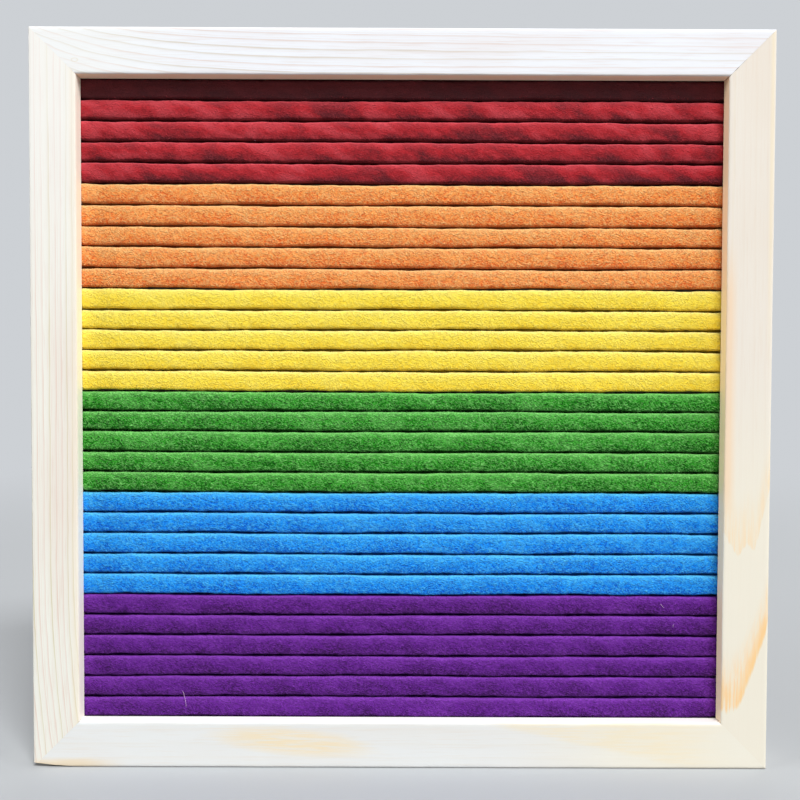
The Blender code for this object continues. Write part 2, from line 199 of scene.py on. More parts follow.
# A smooth random line: the sum of size * sin(2 pi x / length + phase)
def wander(x, seed, lengths, sizes):
    phases = np.random.default_rng(seed).uniform(0, 2 * np.pi, len(lengths))
    waves = [s * np.sin(2 * np.pi * x / l + p) for s, l, p in zip(sizes, lengths, phases)]
    return np.sum(waves, axis=0)


# Smooth random patches from -1 to 1: a repeating grid of random heights, blended by 3t^2 - 2t^3
def patches(u, v, cell, seed):
    cells = 64
    grid = np.random.default_rng(seed).uniform(-1, 1, (cells, cells))
    i, j = np.floor(u / cell).astype(int), np.floor(v / cell).astype(int)
    a, b = u / cell - i, v / cell - j
    a, b = a * a * (3 - 2 * a), b * b * (3 - 2 * b)
    i, j, nextI, nextJ = i % cells, j % cells, (i + 1) % cells, (j + 1) % cells
    low = grid[i, j] * (1 - a) + grid[nextI, j] * a
    high = grid[i, nextJ] * (1 - a) + grid[nextI, nextJ] * a
    return low * (1 - b) + high * b


# Quads of a rows by columns grid of points, numbered along the columns
def gridFaces(rows, columns, closeRows=False):
    index = np.arange(rows * columns).reshape(rows, columns)
    if closeRows:
        index = np.vstack([index, index[:1]])
    corners = (index[:-1, :-1], index[1:, :-1], index[1:, 1:], index[:-1, 1:])
    return np.stack([corner.ravel() for corner in corners], axis=1)


# The two end faces of a tube whose grid has one column for each ring
def endFaces(rows, columns):
    index = np.arange(rows * columns).reshape(rows, columns)
    return [index[::-1, 0].tolist(), index[:, -1].tolist()]


# A mesh piece from an array of points and faces, with values carried on its points
def makePiece(name, points, faces, look, carried=None, caps=(), sharpAngle=None):
    mesh = bpy.data.meshes.new(name)
    mesh.from_pydata(points.reshape(-1, 3).tolist(), [], [*faces.tolist(), *caps])
    for label, values in (carried or {}).items():
        layer = mesh.attributes.new(label, "FLOAT", "POINT")
        layer.data.foreach_set("value", np.asarray(values, dtype=np.float32).ravel())
    mesh.polygons.foreach_set("use_smooth", np.ones(len(mesh.polygons), dtype=bool))
    if sharpAngle:
        mesh.set_sharp_from_angle(angle=math.radians(sharpAngle))
    mesh.materials.append(look)
    mesh.update()
    piece = bpy.data.objects.new(name, mesh)
    bpy.context.scene.collection.objects.link(piece)
    return piece


# Felt

feltLook = {
    # name: rows, deep, body and pale colours as screen values, strength of the fine and of the
    # broad mottling, seed; deep and pale also give each rib's painted shade and painted highlight
    "red": (5, (92, 30, 37), (182, 37, 45), (218, 88, 98), 0.45, 1.10, 11),
    "orange": (5, (228, 98, 40), (255, 161, 80), (255, 210, 144), 1.35, 0.40, 12),
    "yellow": (5, (244, 196, 36), (255, 230, 74), (255, 246, 154), 0.55, 0.30, 13),
    "green": (5, (12, 80, 12), (42, 155, 30), (138, 222, 120), 1.7, 0.55, 14),
    "blue": (5, (12, 92, 208), (22, 152, 255), (98, 208, 255), 1.35, 0.45, 15),
    "purple": (6, (58, 20, 78), (97, 31, 141), (140, 68, 186), 1.15, 0.60, 16),
}
napNoise = {
    # name: how far drawn out, turn in degrees, cells in a metre, detail, roughness, distortion
    "tufts": (1.7, 8, 1150, 2.0, 0.6, 0.3),
    "grain": (2, 12, 2900, 1.5, 0.6, 0.0),
    "brushed": (2.4, 24, 170, 2.0, 0.55, 0.0),
    "strandsA": (4.5, 20, 2600, 1.0, 0.4, 0.0),
    "strandsB": (4.5, 58, 2600, 1.0, 0.4, 0.0),
    "strandsC": (4.5, -22, 2600, 1.0, 0.4, 0.0),
}
# Painted shadow of the top lip on the first rib, a darker felt colour: it ends this far below the
# sight edge
lipShadowPaint = {"colour": (82, 46, 50), "strength": 0.85, "none": 0.0070, "full": 0.0064}
felt = {
    "thickness": 0.0008,
    "grooveHalf": 0.00026,
    "grooveWander": 0.00013,
    "crestDepth": 0.00532,
    "rootDepth": 0.0096,
    "upperSquareness": 5.5,
    "lowerSquareness": 8.5,
    "columns": 181,
    "ribPoints": 23,
    "curveSamples": 2001,
    "turnLength": 0.0020,  # the length of straight line that has as many points as a radian of turn
    "swell": 0.00012,
    "tuft": 0.00007,
    "tuftCells": (0.0023, 0.0061),
    "broadTuft": 0.6,  # height of the larger tufts, as a share of the smaller ones'
    "flap": 0.0042,
    # seed, wave lengths in metres and their sizes, for the grooves' course and width and the ribs
    "driftWaves": (100, (0.190, 0.071, 0.031, 0.012), (0.9, 0.5, 0.4, 0.25)),
    "widthWaves": (300, (0.061, 0.023, 0.0093, 0.0041), (0.35, 0.28, 0.22, 0.2)),
    "swellWaves": (500, (0.071, 0.029, 0.0113), (0.5, 0.35, 0.3)),
    # how far each groove lies above its even place, in shift units, from the top down
    "shiftUnit": 0.0001,
    "grooveShift": (4, 5, 5, 5, 3.5, 3, 2, -1.5, 0, -3, -2, -3, -1, 0, -1, -2, 2, 3, 2, 3, 4, 3, 3,
                    1.5, 2, 0, 1, 1.5, -1, -0.5, -2.5, -5),
}


# Pressed felt: tufts and pores about a millimetre across, fibres lying every way, broad brushed
# patches, with a painted highlight along a rib's upper edge and painted shade towards its lower one
def feltMaterial(name):
    _, deep, body, pale, fine, broad, seed = feltLook[name]
    look = Look("felt_" + name, Roughness=0.95, Specular_IOR_Level=0.12, Sheen_Weight=0.14,
                Sheen_Roughness=0.5, Sheen_Tint=(*screen(*pale), 1.0))
    shift = (seed * 0.37, seed * 0.11, seed * 0.23)

    def noisy(kind):
        stretch, angle, *settings = napNoise[kind]
        where = look.place(stretch=(stretch, 1, 1), turn=(0, angle, 0), shift=shift)
        return look.noise(where, *settings)

    tufts, grain = noisy("tufts"), noisy("grain")
    strands = noisy("strandsA").step(0.57, 0.70)
    for kind in ("strandsB", "strandsC"):
        strands = strands.math("MAXIMUM", noisy(kind).step(0.57, 0.70))
    turn = look.carried("ribTurn")
    # painted highlight on each rib's upper edge and upper half, and painted shade towards its lower
    # edge, set by the place across the rib
    upper = turn.step(0.70, 0.95) * (grain * 0.7 + 0.10) + turn.step(-0.1, 1.15) * 0.32
    lower = turn.step(-0.74, -1.0) * 0.34 + turn.step(0.30, -1.05) * 0.46
    lower = lower * (0.55 + 0.65 * broad)
    pile = tufts * 0.4 + grain * 0.6
    hollow, raised = pile.step(0.53, 0.37), pile.step(0.50, 0.66)
    brushed = noisy("brushed")
    # pores and brushed patches, plus the painted shade towards each rib's lower edge
    shade = hollow * (0.60 * fine) + brushed.step(0.57, 0.32) * (0.55 * broad) + lower
    colour = look.mix(shade, screen(*body), screen(*deep))
    lit = (strands * 0.22 + raised * 0.28) * fine + brushed.step(0.48, 0.72) * (0.30 * broad)
    # paler fibres and raised pile, plus the painted highlight along each rib's top
    colour = look.mix((lit + upper).math("MINIMUM", 0.88), colour, screen(*pale))
    # painted shadow: the red's first rib darkens towards the top lip, where the lip's shade falls
    if name == "red":
        height = look.axes()[2]
        under = height.step(sightTop - lipShadowPaint["none"], sightTop - lipShadowPaint["full"])
        colour = look.mix(under * lipShadowPaint["strength"], colour, screen(*lipShadowPaint["colour"]))
    relief = tufts * 0.5 + grain * 0.35 + strands * 0.25
    return look.finish(Base_Color=colour, Normal=look.bump(relief, 0.0005 + 0.0003 * fine))


# One rib's section: |a|^n + |1 - b|^n = 1, with a from 1 at the top to -1 and a larger n below,
# at steps that are even in length plus a share of how far the line turns
def ribProfile(count):
    angle = np.linspace(0, np.pi, felt["curveSamples"])
    power = 2 / np.where(np.cos(angle) > 0, felt["upperSquareness"], felt["lowerSquareness"])
    a = np.sign(np.cos(angle)) * np.abs(np.cos(angle)) ** power
    b = 1 - np.abs(np.sin(angle)) ** power
    half = board["rowPitch"] / 2
    tall = felt["rootDepth"] - felt["crestDepth"]
    run, rise = np.diff(a) * half, np.diff(b) * tall
    heading = np.unwrap(np.arctan2(rise, run))
    turning = np.abs(np.diff(heading, prepend=heading[0]))
    along = np.concatenate([[0], np.cumsum(np.hypot(run, rise) + felt["turnLength"] * turning)])
    even = np.linspace(0, along[-1], count)
    return np.interp(even, along, a), np.interp(even, along, b)


# A numbered groove's or rib's own smooth line
def ownWaves(x, number, seed, lengths, sizes):
    return wander(x, seed + number, lengths, sizes)


# A groove's middle height and half width along x, groove 0 above the first row
def grooveLine(number, x):
    drift = ownWaves(x, number, *felt["driftWaves"])
    middle = sightTop - number * board["rowPitch"] + felt["grooveWander"] * drift
    breath = ownWaves(x, number, *felt["widthWaves"])
    shift = felt["grooveShift"][number] * felt["shiftUnit"]
    return middle + shift, felt["grooveHalf"] * (1 + breath)


# The sheet's outer surface: rib after rib, joined at the bottom of the grooves
def feltBand(firstRow, rowCount, seed):
    x = np.linspace(-board["ribLength"] / 2, board["ribLength"] / 2, felt["columns"])
    a, b = ribProfile(felt["ribPoints"])
    root = np.full_like(x, felt["rootDepth"])
    smallCell, broadCell = felt["tuftCells"]
    lines, turns = [], []
    if firstRow == 0:
        lines.append(np.stack([x, root, np.full_like(x, sightTop + felt["flap"])], axis=1))
        turns.append(np.ones_like(x))
    for row in range(firstRow, firstRow + rowCount):
        upper, upperHalf = grooveLine(row, x)
        lower, lowerHalf = grooveLine(row + 1, x)
        upper, lower = upper - upperHalf, lower + lowerHalf
        swell = felt["swell"] * ownWaves(x, row, *felt["swellWaves"])
        for share, sink in zip(a, b):
            z = (upper + lower) / 2 + share * (upper - lower) / 2
            y = felt["crestDepth"] + sink * (felt["rootDepth"] - felt["crestDepth"])
            tufts = patches(x, z, smallCell, seed)
            tufts = tufts + felt["broadTuft"] * patches(x, z, broadCell, seed + 1)
            y = y - (swell + felt["tuft"] * tufts) * (1 - sink)
            lines.append(np.stack([x, y, z], axis=1))
            turns.append(np.full_like(x, share))
    if firstRow + rowCount == board["rows"]:
        lines.append(np.stack([x, root, lines[-1][:, 2] - felt["flap"]], axis=1))
        turns.append(-np.ones_like(x))
    points = np.array(lines)
    points[..., 1] += frontY
    return points, np.array(turns)


# Loose fibres that stand off the felt, thickest along the ribs' edges
fuzz = {
    "perRow": 1900,
    "length": (0.0006, 0.0015),
    "thickness": 0.00006,
    "lift": 0.45,
    "bow": (0.02, 0.12),  # how far a fibre's middle stands out, as a share of its length
    "rootSink": 0.00004,
    "atEdges": 0.62,  # share of the fibres on the ribs' edges
    "crestSink": 0.05,  # a rib's crest is where its section has sunk by less than this share
    "edgeShare": 0.9,  # and its edges lie beyond this share of its half height
    "edgeSink": 0.25,  # and above this share of its depth
    "endColumns": 4,  # left bare at each end
    "aside": (0.31, 0.86, 0.40),  # a direction that fibres hardly ever lie in
    "seed": 700,
}


# Single fibres, paler than the felt they come from
def fuzzMaterial(name):
    _, _, body, pale, fine, *_ = feltLook[name]
    look = Look("fuzz_" + name, Roughness=0.85)
    spread = look.noise(look.place(), 500, 1.0).step(0.35, 0.7) * (0.6 * fine + 0.1)
    return look.finish(Base_Color=look.mix(spread, screen(*body), screen(*pale)))


# Thin closed slivers: four points each, a root, a tip and two beside the middle
def slivers(name, root, middle, tip, thickness, look):
    run = tip - root
    side = np.cross(run, np.array(fuzz["aside"]))
    side /= np.linalg.norm(side, axis=1, keepdims=True)
    other = np.cross(run, side)
    other /= np.linalg.norm(other, axis=1, keepdims=True)
    left = middle + thickness / 2 * side
    right = middle - thickness / 4 * side + thickness * 0.43 * other
    turned = np.sum((left - root) * np.cross(right - root, tip - root), axis=1) < 0
    left[turned], right[turned] = right[turned], left[turned].copy()
    points = np.stack([root, left, right, tip], axis=1)
    pattern = np.array([(0, 2, 1), (0, 1, 3), (0, 3, 2), (1, 2, 3)])
    faces = (4 * np.arange(len(root))[:, None, None] + pattern[None]).reshape(-1, 3)
    return makePiece(name, points, faces, look)


# Roots spread over the ribs' shown faces; each fibre lies along the felt, bowed and lifted a little
def makeFuzz(name, points, firstLine):
    rowCount, seed = feltLook[name][0], feltLook[name][-1]
    draw = np.random.default_rng(fuzz["seed"] + seed)
    a, b = (line[:-1] for line in ribProfile(felt["ribPoints"]))
    crest = (b < fuzz["crestSink"]) * 1.0
    edge = (np.abs(a) > fuzz["edgeShare"]) * (b < fuzz["edgeSink"])
    weight = crest / crest.sum() * (1 - fuzz["atEdges"]) + edge / edge.sum() * fuzz["atEdges"]
    count = fuzz["perRow"] * rowCount
    step = draw.choice(len(weight), count, p=weight / weight.sum())
    i = firstLine + draw.integers(0, rowCount, count) * felt["ribPoints"] + step
    j = draw.integers(fuzz["endColumns"], points.shape[1] - 1 - fuzz["endColumns"], count)
    down = points[i + 1, j] - points[i, j]
    root = points[i, j] + down * draw.random((count, 1))
    root = root + (points[i, j + 1] - points[i, j]) * draw.random((count, 1))
    down /= np.linalg.norm(down, axis=1, keepdims=True)
    along = np.array([1.0, 0, 0])
    out = np.cross(along[None, :], down)
    turn = draw.uniform(0, 2 * np.pi, (count, 1))
    way = np.cos(turn) * along + np.sin(turn) * down + fuzz["lift"] * draw.random((count, 1)) * out
    way /= np.linalg.norm(way, axis=1, keepdims=True)
    length = draw.uniform(*fuzz["length"], (count, 1))
    root = root - out * fuzz["rootSink"]
    middle = root + way * length / 2 + out * length * draw.uniform(*fuzz["bow"], (count, 1))
    look = fuzzMaterial(name)
    return slivers("fuzz_" + name, root, middle, root + way * length, fuzz["thickness"], look)


def makeFelts():
    firstRow = 0
    for name, (rowCount, *_, seed) in feltLook.items():
        points, turns = feltBand(firstRow, rowCount, seed)
        faces = gridFaces(*points.shape[:2])
        look = feltMaterial(name)
        sheet = makePiece("felt_sheet_" + name, points, faces, look, {"ribTurn": turns})
        wall = sheet.modifiers.new("wall", "SOLIDIFY")
        wall.thickness = felt["thickness"]
        wall.offset = -1
        # the topmost sheet starts with its flap's edge
        fibres = makeFuzz(name, points, 1 if firstRow == 0 else 0)
        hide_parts("felt_" + name)
        for piece in (sheet, fibres):
            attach(piece, "root")
        firstRow += rowCount


# Stray hairs and specks on the felt

lint = {
    "radius": 0.00005,
    "lift": 0.00012,
    "bow": 0.0002,
    "sides": 5,
    "ringsPerPoint": 4,
    "colours": ((214, 160, 214), (240, 214, 236)),
    # paths over the felt as x and z in metres
    "hair": ((-0.0766, 0.0250), (-0.0761, 0.0244), (-0.0758, 0.0230), (-0.0755, 0.0217),
             (-0.0753, 0.0203), (-0.0753, 0.0190)),
    "fibreA": ((0.0910, 0.0563), (0.0915, 0.0559), (0.0920, 0.0553), (0.0926, 0.0547)),
    "fibreB": ((0.0958, 0.0492), (0.0956, 0.0486), (0.0957, 0.0480)),
    # places of the specks, and one speck's path about its place
    "specks": ((-0.0885, 0.2126), (-0.0509, 0.2170), (0.0412, 0.1020), (-0.0100, 0.0655)),
    "speckPath": ((-0.00016, 0.0), (0.0, 0.00006), (0.00016, -0.00004)),
}


# A tube along a path: rings of radius r * (1.02 - |2t - 1|^4) ^ 0.5 across it, closed at its ends
def makeHair(name, path, look):
    path = np.array(path)
    share = np.linspace(0, 1, lint["ringsPerPoint"] * len(path))
    x, z = (np.interp(share, np.linspace(0, 1, len(path)), path[:, i]) for i in (0, 1))
    y = np.full_like(x, frontY + felt["crestDepth"] - lint["lift"])
    y = y - lint["bow"] * np.sin(np.pi * share)
    centre = np.stack([x, y, z], axis=1)
    run = np.gradient(centre, axis=0)
    run /= np.linalg.norm(run, axis=1, keepdims=True)
    side = np.cross(run, np.array([0, 1.0, 0]))
    other = np.cross(run, side)
    radius = lint["radius"] * (1.02 - np.abs(2 * share - 1) ** 4) ** 0.5
    turn = -np.linspace(0, 2 * np.pi, lint["sides"] + 1)[:-1, None]
    ring = side[:, None] * np.cos(turn) + other[:, None] * np.sin(turn)
    points = (centre[:, None] + radius[:, None, None] * ring).transpose(1, 0, 2)
    size = points.shape[:2]
    piece = makePiece(name, points, gridFaces(*size, closeRows=True), look, caps=endFaces(*size))
    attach(piece, "root")


def makeLint():
    look = Look("lint", Roughness=0.7)
    tone = look.noise(look.place(), 900, 1.0)
    material = look.finish(Base_Color=look.mix(tone, *(screen(*c) for c in lint["colours"])))
    for name in ("hair", "fibreA", "fibreB"):
        makeHair("lint_" + name, lint[name], material)
    for number, (x, z) in enumerate(lint["specks"]):
        path = [(x + across, z + up) for across, up in lint["speckPath"]]
        makeHair(f"lint_speck_{number + 1}", path, material)
    print("stage: lint")


# Frame rails

rail = {
    "frontOuterRadius": 0.0008,
    "frontInnerRadius": 0.0005,
    "backOuterRadius": 0.0006,
    "arcPoints": 5,
    # how many parts each flat of the section is cut into
    "flatParts": {"front": 25, "lip": 3, "rabbet": 4, "back": 5, "outer": 6},
    "columns": 150,
    "sharpAngle": 35,
    "unevenness": 0.00003,
    "unevenCell": 0.013,
    "wear": 0.00006,
    "wearWaves": ((0.043, 0.0171, 0.0067), (0.4, 0.35, 0.25)),
    # how far wear reaches from the outer and inner arrises, and back from the front
    "wearReach": {"outer": 0.0011, "inner": 0.0008, "front": 0.002, "lip": 0.0045},
    "lipWear": 0.9,
    "sandedLength": 0.020,
    "sandedRise": 0.0017,
    "sandedPower": 1.5,
    # the lip's inner face that takes the painted bounce light, within this of the lip's inner side
    # and behind this depth
    "innerWallWithin": 0.0002,
    "innerWallBehind": 0.0004,
    "mitrePower": 14,  # the higher, the closer to its inner end a mitre opens
}
mitreGap = {
    # half the open joint at each corner: along the mitre, at its inner end, and at its chips
    "topLeft": (0.000004, 0.00001, 0),
    "topRight": (0.000012, 0.00004, 0.00009),
    "bottomRight": (0.000004, 0.000004, 0),
    "bottomLeft": (0.000006, 0.00001, 0),
}
mitreChips = {
    # place and width as shares of the rail's width, and size
    "larger": (0.84, 0.035, 1.0),
    "smaller": (0.70, 0.03, 0.6),
}
railSides = {
    # node, turn about Y, joints at the -X and +X ends of the side's own frame, seed
    "bottom": ("frame_bottom_rail", 0, "bottomLeft", "bottomRight", 21),
    "left": ("frame_left_stile", 90, "topLeft", "bottomLeft", 22),
    "top": ("frame_top_rail", 180, "topRight", "topLeft", 23),
    "right": ("frame_right_stile", 270, "bottomRight", "topRight", 24),
}


# The moulding's section, inwards w from the outer edge and back y from the front, rounded
def railSection():
    width, wall, lip, depth = (board[key] for key in ("railWidth", "railWall", "lipDepth", "depth"))
    outer, inner, back = rail["frontOuterRadius"], rail["frontInnerRadius"], rail["backOuterRadius"]
    turn = np.linspace(0, np.pi / 2, rail["arcPoints"])

    def line(start, end, flat):
        share = np.linspace(0, 1, rail["flatParts"][flat] + 1)[1:-1, None]
        return np.array(start) * (1 - share) + np.array(end) * share

    def arc(centre, radius, first):
        angle = first + turn
        return np.array(centre) + radius * np.stack([np.cos(angle), np.sin(angle)], axis=1)

    parts = [
        arc((outer, outer), outer, np.pi),
        line((outer, 0), (width - inner, 0), "front"),
        arc((width - inner, inner), inner, 1.5 * np.pi),
        line((width, inner), (width, lip), "lip"),
        [(width, lip), (wall, lip)],
        line((wall, lip), (wall, depth), "rabbet"),
        [(wall, depth)],
        line((wall, depth), (back, depth), "back"),
        arc((back, depth - back), back, 0.5 * np.pi),
        line((0, depth - back), (0, outer), "outer"),
    ]
    return np.vstack(parts)


# The side's own axes in the board's frame: along, back and inwards, and its outer middle
def railFrame(side):
    angle = math.radians(railSides[side][1])
    along = np.array([math.cos(angle), 0, -math.sin(angle)])
    inwards = np.array([math.sin(angle), 0, math.cos(angle)])
    across = board["height"] if side in ("bottom", "top") else board["width"]
    outer = np.array([0, frontY, board["height"] / 2]) - inwards * across / 2
    return along, np.array([0, 1.0, 0]), inwards, outer


# How far each line of the section runs to a joint: half the length less w, and less the open gap,
# which grows as (w / width)^power to the inner end and by a bell curve at each chip
def mitreEnd(joint, w, length):
    along, end, chip = mitreGap[joint]
    inner = w / board["railWidth"]
    bells = [size * np.exp(-(((inner - at) / wide) ** 2)) for at, wide, size in mitreChips.values()]
    gap = along + (end - along) * inner ** rail["mitrePower"] + chip * sum(bells)
    return length / 2 - w - gap * math.sqrt(2)


# A rail: its section carried along the side, worn at the arrises, cut off on the mitre planes
def makeRail(side, look):
    node, _, low, high, seed = railSides[side]
    length = board["width"] if side in ("bottom", "top") else board["height"]
    w, y = railSection().T
    share = np.linspace(-1, 1, rail["columns"])[None, :]
    lowEnd, highEnd = (mitreEnd(joint, w, length)[:, None] for joint in (low, high))
    s = np.where(share < 0, lowEnd, highEnd) * share
    wide = w[:, None] + np.zeros_like(s)
    deep = y[:, None] + np.zeros_like(s)
    reach = rail["wearReach"]
    frontFace = np.clip(1 - deep / reach["front"], 0, 1)
    uneven = np.abs(patches(s + 1, wide * 2 + deep, rail["unevenCell"], seed))
    uneven = rail["unevenness"] * uneven
    worn = rail["wear"] * (1 + wander(s, seed, *rail["wearWaves"]))
    nearOuter = np.clip(1 - wide / reach["outer"], 0, 1)
    nearInner = np.clip(1 - (board["railWidth"] - wide) / reach["inner"], 0, 1)
    deep = deep + (uneven + worn * (nearOuter + nearInner)) * frontFace
    onLip = np.clip(1 - deep / reach["lip"], 0, 1)
    wide = wide - worn * rail["lipWear"] * nearInner * onLip
    along, back, inwards, outer = railFrame(side)
    points = outer + s[..., None] * along + deep[..., None] * back + wide[..., None] * inwards
    fromLeft = points[..., 0] + board["width"] / 2
    sanded = np.clip(1 - fromLeft / rail["sandedLength"], 0, 2) ** rail["sandedPower"]
    points[..., 2] = np.maximum(points[..., 2], rail["sandedRise"] * sanded)
    # the lip's inner face, which the wood material tints with painted bounce light
    sawn = (w > board["railWidth"] - rail["innerWallWithin"]) & (y > rail["innerWallBehind"])
    carried = {"sawn": np.repeat(sawn, s.shape[1])}
    faces, caps = gridFaces(*s.shape, closeRows=True), endFaces(*s.shape)
    piece = makePiece("rail_" + side, points, faces, look, carried, caps, rail["sharpAngle"])
    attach(piece, "root")
    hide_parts(node)


# Wood

woodLook = {
    # body and two growth-line colours as screen values, spacing of the lines in metres, how strong
    # they are, and the colour and strength of the painted bounce light on the lip's inner face
    "bottom": ((232, 235, 235), (226, 214, 198), (226, 216, 196), 0.0049, 0.16,
               (250, 246, 244), 0.8),
    "left": ((239, 239, 230), (218, 180, 162), (210, 200, 162), 0.00205, 0.76,
             (255, 250, 234), 0.9),
    "top": ((238, 242, 248), (214, 184, 168), (206, 194, 178), 0.00242, 0.86,
            (255, 230, 202), 0.95),
    "right": ((233, 226, 215), (222, 204, 184), (226, 212, 184), 0.0038, 0.26,
              (252, 230, 192), 0.9),
}
woodNoise = {
    # name: how far drawn out along the rail, shift, cells in a metre, detail, roughness
    "warp": (22, 0.0, 130, 2.0, 0.5),
    "wobble": (6, 0.0, 420, 1.0, 0.5),
    "uneven": (8, 1.0, 380, 2.0, 0.6),
    "pores": (26, 2.0, 1700, 2.0, 0.6),
    "cloud": (4, 3.0, 60, 1.0, 0.5),
    "fibres": (15, 4.0, 1300, 2.0, 0.6),
    "resin": (3, 5.0, 240, 1.0, 0.5),
}
grain = {
    # how far the growth lines move: across for each metre of depth, by warp and by wobble
    "slope": 0.3,
    "warp": 0.0024,
    "wobble": 0.0006,
    # the top rail's lines bend down at its left end: from here, over this length, this far
    "bend": (-0.119, 0.029, 0.0108),
    "leanBelow": 0.072,  # height under which the left stile's lines lean outwards
    "pores": 0.20,
    "clouds": 0.18,
    # stains lie on the front and fade out from the first to the second of these depths
    "stainDepth": (0.0015, 0.0070),
}
stainLook = {
    # strength, and colour as screen values, from the lowest layer up
    "right": {
        "lowHalf": (0.8, (238, 233, 216)),
        "echoes": (0.25, (244, 220, 180)),
        "streak": (0.75, (247, 209, 152)),
        "fan": (0.85, (248, 206, 146)),
        "flame": (0.70, (243, 218, 178)),
        "band": (0.6, (244, 208, 166)),
        "outerEdge": (0.35, (246, 228, 184)),
    },
    "bottom": {
        "rightHalf": (0.85, (239, 234, 217)),
        "patch": (0.75, (243, 222, 178)),
        "wedge": (0.45, (244, 226, 184)),
        "corner": (0.75, (236, 216, 180)),
    },
    "left": {
        "topHalf": (0.6, (243, 243, 241)),
        "corner": (0.5, (240, 214, 174)),
        "innerEdge": (0.35, (246, 232, 206)),
    },
    "top": {
        "leftEnd": (0.5, (240, 241, 235)),
        "ring": (0.3, (214, 200, 164)),
    },
}


# Pale pine: thin growth lines along the rail, fine pores drawn out with them, and soft stains
def woodMaterial(side):
    body, line, otherLine, spacing, strength, edge, bounceTintStrength = woodLook[side]
    seed = railSides[side][4]
    look = Look("pine_" + side, Specular_IOR_Level=0.3)
    x, y, z = look.axes()
    level = side in ("bottom", "top")

    def noisy(kind):
        drawn, shift, *settings = woodNoise[kind]
        stretch = (drawn, 1, 1) if level else (1, 1, drawn)
        return look.noise(look.place(stretch, shift=(seed, shift, seed)), *settings)

    warp, wobble = noisy("warp") - 0.5, noisy("wobble") - 0.5
    ringed = (z if level else x) + y * grain["slope"]
    ringed = ringed + warp * grain["warp"] + wobble * grain["wobble"]
    if side == "top":
        start, length, far = grain["bend"]
        ringed = ringed - ((x - start) / -length).math("EXPONENT") * far
    if side == "left":
        lean = (grain["leanBelow"] - z).math("MAXIMUM", 0.0)
        ringed = ringed - lean * lean
    count = ringed / spacing + seed * 0.37
    turn = count.math("FRACT")
    own = look.add("TexWhiteNoise", {"W": count.math("FLOOR")}, noise_dimensions="1D")
    rings = (turn.step(0.25, 0.85) * 0.2 + turn.step(0.68, 0.90) * 0.8) * turn.step(1.0, 0.93)
    rings = rings * (own * 0.45 + 0.55)
    faint = turn.step(0.05, 0.20) * turn.step(0.40, 0.24) * (1.0 - own) * 0.2
    rings = (rings + faint) * (noisy("uneven") * 1.1 + 0.30)
    if side == "top":
        rings = rings * (x.step(0.100, -0.060) * 0.35 + 0.65)
    pores, cloud, fibres = noisy("pores"), noisy("cloud"), noisy("fibres")
    tint = look.mix(own.step(0.35, 0.65), screen(*line), screen(*otherLine))
    colour = look.mix(rings * strength, screen(*body), tint)
    colour = look.mix(pores.step(0.50, 0.72) * grain["pores"], colour, screen(*line))
    colour = look.mix(cloud.step(0.42, 0.75) * grain["clouds"], colour, screen(*line))
    full, none = grain["stainDepth"]
    depth = y.step(frontY + none, frontY + full)
    masks = stainMasks(side, x, z, fibres, noisy)
    for name, (share, stain) in stainLook[side].items():
        colour = look.mix(masks[name] * share * depth, colour, screen(*stain))
    # painted light: the lip's inner face tinted warm and pale, standing in for light bounced off
    # the felt and lifting its shade
    colour = look.mix(look.carried("sawn") * bounceTintStrength, colour, screen(*edge))
    normal = look.bump(pores * 0.6 + rings * 0.15, 0.00006, 0.5)
    return look.finish(Base_Color=colour, Normal=normal, Roughness=pores * 0.12 + 0.56)


# Resin streaks, tan patches and sanded edges, as masks around lines and ovals; places in metres
def stainMasks(side, x, z, fibres, noisy):
    ragged = fibres - 0.5
    grained = fibres.step(0.35, 0.62) * 0.6 + 0.4
    if side == "right":
        resin = noisy("resin").step(0.28, 0.60) * 0.45 + 0.55
        return {**resinMasks(x, z, fibres, ragged, resin), **tanMasks(x, z, ragged, grained)}
    if side == "bottom":
        slope = z - 0.0092 + (x + 0.0375) * 0.085
        patch = ((x + 0.0375) / 0.0290) ** 2.0 + (slope / 0.0052) ** 2.0 + ragged * 1.3
        over = z - 0.01527 + (x - 0.0276) * 0.2102 + ragged * 0.0010
        wedge = over.step(-0.0004, 0.0022) * x.step(0.010, 0.040) * x.step(0.118, 0.088)
        return {
            "rightHalf": x.step(0.030, 0.095),
            "patch": patch.step(1.25, 0.2) * grained,
            "wedge": wedge * grained,
            "corner": x.step(-0.092, -0.112) * (z + ragged * 0.0020).step(0.0040, 0.0014),
        }
    if side == "left":
        return {
            "topHalf": z.step(0.120, 0.250),
            "corner": (z + ragged * 0.0015).step(0.0036, 0.0010),
            "innerEdge": x.step(-0.1145, -0.1118),
        }
    away = (((x + 0.1112) / 0.0011) ** 2.0 + ((z - 0.2426) / 0.0006) ** 2.0).math("SQRT")
    return {
        "leftEnd": x.step(-0.060, -0.115),
        "ring": away.step(0.55, 0.9) * away.step(1.35, 1.05),
    }


# The right stile's resin: a streak runs down from the outer edge and spreads into a fan
def resinMasks(x, z, fibres, ragged, resin):
    away = z * 0.333 + 0.11018 - x + ragged * 0.0012
    inside = away.step(-0.0004, 0.0007)
    bend = (x - 0.1135).math("MAXIMUM", 0.0)
    tip = z + ragged * 0.0060 - bend * bend * 168.0
    cut = tip.step(0.0196, 0.0222)
    streak = (away + ragged * 0.0016).step(0.0038, 0.0004) * cut * z.step(0.0650, 0.0500)
    fan = inside * cut * tip.step(0.0440, 0.0250) * (fibres.step(0.40, 0.60) * 0.7 + 0.3)
    echoes = (away / 0.0014).math("FRACT").step(0.35, 0.7) * away.step(0.0090, 0.002)
    echoes = echoes * inside * z.step(0.024, 0.032) * z.step(0.062, 0.046)
    return {"echoes": echoes, "streak": inside * streak * resin, "fan": fan}


